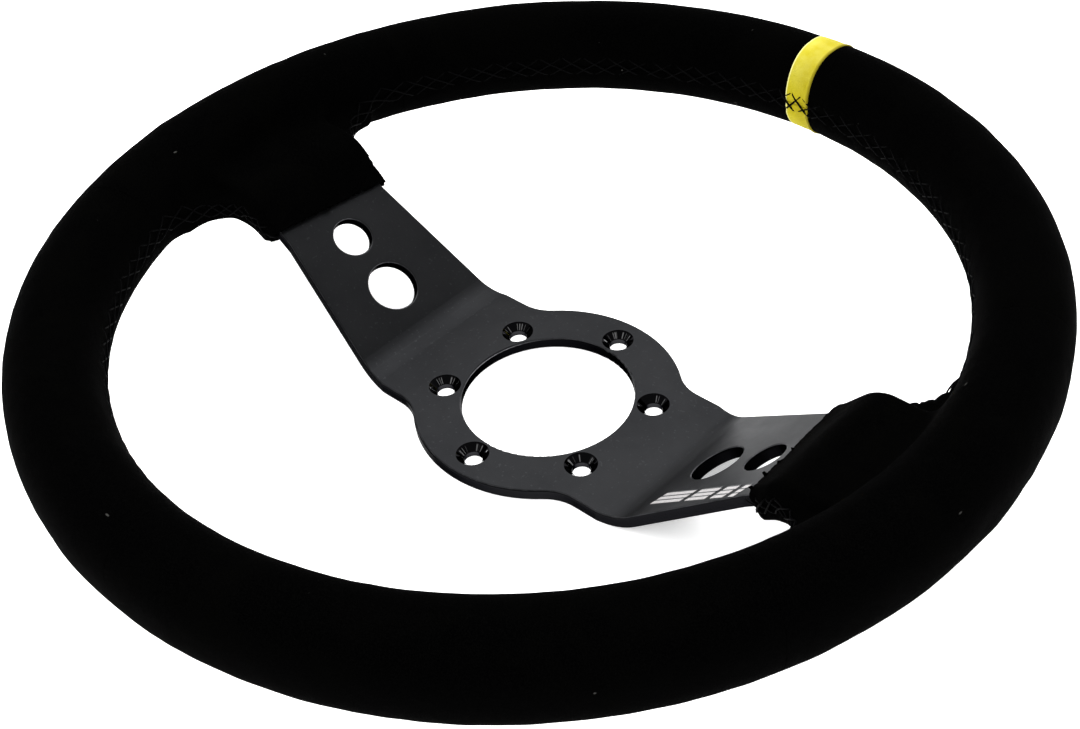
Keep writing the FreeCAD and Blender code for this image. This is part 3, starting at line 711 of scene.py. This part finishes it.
SUEDE, BAND, THREAD = suede_material(), band_material(), thread_material()
plate_coat = plate_material()
steel = metal_material("drawn_steel", (0.42, 0.42, 0.43), (0.56, 0.56, 0.57), 0.25, 0.45)
alloy = metal_material("rivet_alloy", (0.66, 0.66, 0.67), (0.78, 0.78, 0.79), 0.22, 0.38)
CAD_LOOKS = {
    "spoke_plate": plate_coat,
    "spoke_mark": print_material(),
    "core_ring": steel,
    "core_joint_sleeve": steel,
    "anchor_lug_right": steel,
    "anchor_lug_left": steel,
    "rivets_right": alloy,
    "rivets_left": alloy,
}
for node, material in CAD_LOOKS.items():
    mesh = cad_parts[node].data
    mesh.materials.clear()
    mesh.materials.append(material)


# --- suede panels and the centre band round the rim --------------------------------------------
def wrap(name, start, end, material, seam_roll=0.6, end_roll=0.1, lift=0.0, hem=0.0, up=1):
    """A strip wrapped round the rim's section from `start` to `end` degrees, closed with its lining."""
    across = graded(GIRTH - 0.24, 0.95, EDGE_STEPS) + 0.12
    span = math.radians(end - start) * RIM_RADIUS - 0.02
    step = 1.0 if span > 30 else 0.5
    along = graded(span, step, EDGE_STEPS[:8])
    theta = math.radians(start) + (along + 0.01) / RIM_RADIUS
    uv = section(across)
    grid_t, grid_i = np.meshgrid(theta, np.arange(len(across)), indexing="ij")
    u, v = uv[grid_i.ravel(), 0], uv[grid_i.ravel(), 1]
    turn, r = grid_t.ravel(), RIM_RADIUS + u
    base = np.stack([r * np.cos(turn), r * np.sin(turn), RIM_HEIGHT + v], 1)
    out = normals(base, rim_field)
    edge = np.minimum(across, GIRTH - across)[grid_i.ravel()]
    finish_line = np.repeat(np.minimum(along, span - along), len(across))
    drop = roll(edge, seam_roll) + roll(finish_line, end_roll)
    drop = np.minimum(drop, COVER - 0.05)
    # slack and ripple, calm near the ends, and a ridge where the seam pulls the suede up
    calm = ease(finish_line, 0.0, 9.0)
    drop += calm * (0.10 * waves(base, 11, 26.0) + 0.05 * waves(base, 12, 9.0) - 0.10)
    close = ease(edge, 0.9, 2.4) * (1 - ease(edge, 2.4, 9.0))
    drop -= 0.30 * close * (1 + 0.5 * waves(base, 13, 5.0))
    drop += dimples(HOLES[HOLES[:, 1] * up > 0], base)
    drop -= lift
    if hem:
        late = np.repeat(along, len(across))
        drop -= hem * (1 - ease(late, 0.5, 1.6))
    outside = base - out * drop[:, None]
    lining = base - out * COVER
    rows, columns = len(along), len(across)
    index = np.arange(rows * columns).reshape(rows, columns)
    quads = np.stack([index[:-1, :-1], index[1:, :-1], index[1:, 1:], index[:-1, 1:]], -1).reshape(-1, 4)
    inner = quads[:, ::-1] + rows * columns
    loop = np.concatenate([index[0, :-1], index[:-1, -1], index[-1, :0:-1], index[:0:-1, 0]])
    after = np.roll(loop, -1)
    rim = np.stack([loop, after, after + rows * columns, loop + rows * columns], 1)
    faces = np.concatenate([quads, inner, rim]).tolist()
    return new_piece(name, np.concatenate([outside, lining]), faces, material)


PANELS = {
    "upper_right": (BOOT_ANGLE, BAND_LOW, 1),
    "upper_left": (BAND_HIGH, 180 - BOOT_ANGLE, 1),
    "lower_left": (180 + BOOT_ANGLE, 270, -1),
    "lower_right": (270, 360 - BOOT_ANGLE, -1),
}


def face_outwards(piece):
    mesh = bmesh.new()
    mesh.from_mesh(piece.data)
    bmesh.ops.recalc_face_normals(mesh, faces=mesh.faces)
    mesh.to_mesh(piece.data)
    mesh.free()


def settle_piece(piece, node):
    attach(piece, "root")
    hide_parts(node)


for name, (start, end, up) in PANELS.items():
    panel = wrap(f"suede_panel_{name}", start, end, SUEDE, up=up)
    face_outwards(panel)
    settle_piece(panel, f"suede_{name}")
band = wrap("yellow_centre_band", BAND_LOW, BAND_HIGH, BAND, end_roll=0.3, lift=0.12, hem=0.28)
face_outwards(band)
settle_piece(band, "centre_band")


# --- boots over the spokes' ends ----------------------------------------------------------------
BOOT_BOX, BOOT_STEP = ((88.0, -76.0, 24.0), (166.0, 76.0, 70.0)), 0.8
GROOVE_DEPTH, GROOVE_WIDTH, RIDGE_HEIGHT = 0.6, 0.75, 0.2
FRAY = 0.16


def seam_gap(points):
    """Distance from the nearest seam that runs beside a boot."""
    parts = [path[np.abs(path[:, 0]) > BOOT_SIDE][::2] for path in PATHS.values()]
    return np.sqrt(nearest_square(points, np.concatenate(parts)))


def off_axis(points):
    """Angle of each point from the spoke's middle line, in degrees."""
    return np.abs(np.degrees(np.arctan2(points[:, 1], points[:, 0])))


def make_boot(side, name):
    start, lean = CUTS[side]
    points, quads = mesh_field(field, *BOOT_BOX, BOOT_STEP)
    # a little more than the boot, to be trimmed to its cut and its two joints
    keep = off_axis(points) < BOOT_ANGLE + 2
    keep &= slope_coords(points[:, 0], points[:, 2])[0] > start - 6
    quads = quads[keep[quads].all(1)]
    used = np.unique(quads)
    number = np.full(len(points), -1)
    number[used] = np.arange(len(used))
    points, quads = settle(points[used]), number[quads]
    out = normals(points)
    mirror = np.array([side, 1, 1])
    world = points * mirror
    gap = seam_gap(world)
    from_edge = (BOOT_ANGLE - off_axis(points)) * math.pi / 180 * RIM_RADIUS
    along = slope_coords(points[:, 0], points[:, 2])[0] - start - lean * points[:, 1]
    drop = GROOVE_DEPTH * np.exp(-((gap / GROOVE_WIDTH) ** 2))
    drop = drop - RIDGE_HEIGHT * np.exp(-(((gap - 2.3) / 1.3) ** 2))
    drop += roll(np.clip(from_edge, 0, 9), 0.1)
    drop += ease(from_edge, 0.0, 9.0) * (0.12 * waves(world, 21, 24.0) + 0.07 * waves(world, 22, 8.0))
    drop += dimples(HOLES[np.abs(HOLES[:, 0]) > BOOT_SIDE], world)
    drop += 0.15 * (1 - ease(along, 0, 3.0)) * waves(world, 23, 3.5)
    world = world - out * mirror * drop[:, None]
    if side < 0:
        quads = quads[:, ::-1]
    boot = new_piece(f"suede_boot_cover_{name}", world, quads.tolist(), SUEDE)
    mesh = bmesh.new()
    mesh.from_mesh(boot.data)
    c, s = math.cos(SLOPE), math.sin(SLOPE)
    # the cut's plane: along = start + lean * y
    normal = Vector((-side * c, lean, -s))
    on_plane = Vector((side * (BEND + start / c), 0, PLATE)) * MM
    planes = [(on_plane, normal)]
    limit = math.radians(BOOT_ANGLE) - 0.0001
    for way in (-1, 1):
        planes.append((Vector(), Vector((-side * math.sin(limit), way * math.cos(limit), 0))))
    for place, facing in planes:
        everything = mesh.verts[:] + mesh.edges[:] + mesh.faces[:]
        bmesh.ops.bisect_plane(
            mesh, geom=everything, plane_co=place, plane_no=facing, clear_outer=True, dist=1e-6
        )
    # the raw cut edge is slightly uneven
    rough = np.random.default_rng(31 + side)
    for vertex in mesh.verts:
        if vertex.is_boundary and abs((vertex.co - on_plane).dot(normal)) < 2e-5:
            step = float(np.clip(rough.normal(), -1.6, 1.6)) * FRAY * MM
            vertex.co += Vector((-side * c, 0, -s)) * step
    mesh.to_mesh(boot.data)
    mesh.free()
    shell = boot.modifiers.new("thickness", "SOLIDIFY")
    shell.thickness, shell.offset = COVER * MM, -1.0
    bpy.context.view_layer.update()
    whole = bpy.data.meshes.new_from_object(boot.evaluated_get(bpy.context.evaluated_depsgraph_get()))
    boot.modifiers.clear()
    boot.data = whole
    settle_piece(boot, f"suede_boot_{name}")


make_boot(1, "right")
make_boot(-1, "left")


# --- moulded foam inside ------------------------------------------------------------------------
FOAM_BOX, FOAM_STEP, FOAM_GAP = ((-161.0, -161.0, 31.0), (161.0, 161.0, 67.0)), 1.6, 0.15
FOAM_START = 58.0
SPOKE_END_RADIUS, LUG_RADIUS, LUG_START, LUG_TOP, LUG_HALF_WIDTH = 141.0, 144.0, 123.5, 49.9, 20.2
CORE_RADIUS = 6.1


def foam_field(x, y, z):
    """Just inside the cover, with room for the core tube, the lugs and the spokes' ends."""
    inside = field(x, y, z) + COVER + FOAM_GAP
    along, above = slope_coords(np.abs(x), z)
    inside = smooth_max(inside, FOAM_START - along, 1.0)
    level, radius = z - END_FRONT, np.hypot(x, y)
    slab = smooth_max(above, level, SHEET_BLEND)
    slab = np.maximum(slab, smooth_min(-PLATE - above, -PLATE - level, SHEET_BLEND))
    slab = np.maximum(np.maximum(slab, np.abs(y) - TIP_HALF_WIDTH), radius - SPOKE_END_RADIUS)
    lug = np.maximum(np.maximum(z - LUG_TOP, END_FRONT - 0.2 - z), np.abs(y) - LUG_HALF_WIDTH)
    lug = np.maximum(np.maximum(lug, LUG_START - np.abs(x)), radius - LUG_RADIUS)
    core = np.hypot(radius - RIM_RADIUS, z - RIM_HEIGHT) - CORE_RADIUS
    hollow = np.minimum(np.minimum(slab, lug), core) - 0.1
    return np.maximum(inside, -hollow)


def make_foam():
    points, quads = mesh_field(foam_field, *FOAM_BOX, FOAM_STEP)
    foam = new_piece("moulded_foam_grip", points, quads.tolist(), foam_material())
    settle_piece(foam, "grip_foam")


make_foam()

# --- thread --------------------------------------------------------------------------------------
ZONES = {
    "upper_right": lambda a: (a >= BOOT_ANGLE) & (a < BAND_LOW),
    "band": lambda a: (a >= BAND_LOW) & (a <= BAND_HIGH),
    "upper_left": lambda a: (a > BAND_HIGH) & (a <= 180 - BOOT_ANGLE),
    "boot_left": lambda a: near(a, 180, BOOT_ANGLE),
    "lower_left": lambda a: (a >= 180 + BOOT_ANGLE) & (a < 270),
    "lower_right": lambda a: (a >= 270) & (a <= 360 - BOOT_ANGLE),
    "boot_right": lambda a: near(a, 0, BOOT_ANGLE),
}
threads = {name: ([], []) for name in ZONES}
for up in (1, -1):
    stitches = [s for s in STITCHES if s[3] == up]
    lines, outs = stitch_lines(stitches, up, THREAD_RADIUS)
    middle = angle_of(lines[:, lines.shape[1] // 2])
    for name, inside in ZONES.items():
        chosen = inside(middle)
        if chosen.any():
            threads[name][0].append(lines[chosen])
            threads[name][1].append(outs[chosen])
for name, (lines, outs) in threads.items():
    lines, outs = np.concatenate(lines), np.concatenate(outs)
    radius = BAND_THREAD_RADIUS if name == "band" else THREAD_RADIUS
    piece = new_piece(f"lacing_{name}", *tube_rings(lines, outs, radius, THREAD_SIDES), THREAD)
    face_outwards(piece)
    settle_piece(piece, f"thread_{name}")


# --- floor and light -----------------------------------------------------------------------------
FLOOR_HALF, FLOOR_LEVEL = 6.0, -0.0002
BASE_GLOW = 0.16


def make_stage():
    mesh = bpy.data.meshes.new("floor")
    corners = ((-1, -1), (1, -1), (1, 1), (-1, 1))
    mesh.from_pydata([(i * FLOOR_HALF, j * FLOOR_HALF, FLOOR_LEVEL) for i, j in corners], [], [(0, 1, 2, 3)])
    n = Nodes("pale_floor")
    n.link(n.mix(n.noise(3.0), (0.93, 0.93, 0.93), (0.95, 0.95, 0.95)), n.shader.inputs["Base Color"])
    n.fixed(Roughness=0.9, Specular_IOR_Level=0.1)
    n.fixed(Emission_Color=(1.0, 1.0, 1.0, 1.0), Emission_Strength=0.45)
    mesh.materials.append(n.material)
    floor = bpy.data.objects.new("floor", mesh)
    scene.collection.objects.link(floor)


def make_world():
    world = bpy.data.worlds.new("studio")
    world.use_nodes = True
    tree = world.node_tree
    tree.nodes.clear()
    output = tree.nodes.new("ShaderNodeOutputWorld")
    background = tree.nodes.new("ShaderNodeBackground")
    tree.links.new(background.outputs[0], output.inputs["Surface"])
    place = tree.nodes.new("ShaderNodeTexCoord").outputs["Generated"]
    total = None
    # each glow: where it is, how wide (cosines of its edge and its core), how bright
    for way, edge, core, level in (
        ((-0.42, 0.62, 0.66), 0.62, 0.90, 1.05),
        ((0.0, 0.0, -1.0), -0.55, 0.10, 0.95),
    ):
        dot = tree.nodes.new("ShaderNodeVectorMath")
        dot.operation = "DOT_PRODUCT"
        tree.links.new(place, dot.inputs[0])
        dot.inputs[1].default_value = Vector(way).normalized()
        glow = tree.nodes.new("ShaderNodeMapRange")
        glow.interpolation_type = "SMOOTHSTEP"
        for socket, value in zip(glow.inputs[1:5], (edge, core, 0.0, level)):
            socket.default_value = value
        tree.links.new(dot.outputs["Value"], glow.inputs[0])
        joined = tree.nodes.new("ShaderNodeMath")
        joined.operation = "ADD"
        tree.links.new(glow.outputs[0], joined.inputs[0])
        if total is None:
            joined.inputs[1].default_value = BASE_GLOW
        else:
            tree.links.new(total, joined.inputs[1])
        total = joined.outputs[0]
    tree.links.new(total, background.inputs["Strength"])
    background.inputs["Color"].default_value = (1.0, 1.0, 1.0, 1.0)
    scene.world = world


def make_lamp():
    """A wide soft lamp overhead, pointing straight down."""
    data = bpy.data.lights.new("overhead_fill", "AREA")
    data.shape, data.size, data.energy = "SQUARE", 6.0, 300.0
    lamp = bpy.data.objects.new("overhead_fill", data)
    scene.collection.objects.link(lamp)
    lamp.location = (0.0, 0.0, 1.9)
    lamp.rotation_euler = Vector((0.0, 0.0, -1.9)).to_track_quat("-Z", "Y").to_euler()
    lamp.visible_glossy = False


make_stage()
make_world()
make_lamp()
scene.view_settings.view_transform = "Standard"
scene.view_settings.look = "None"
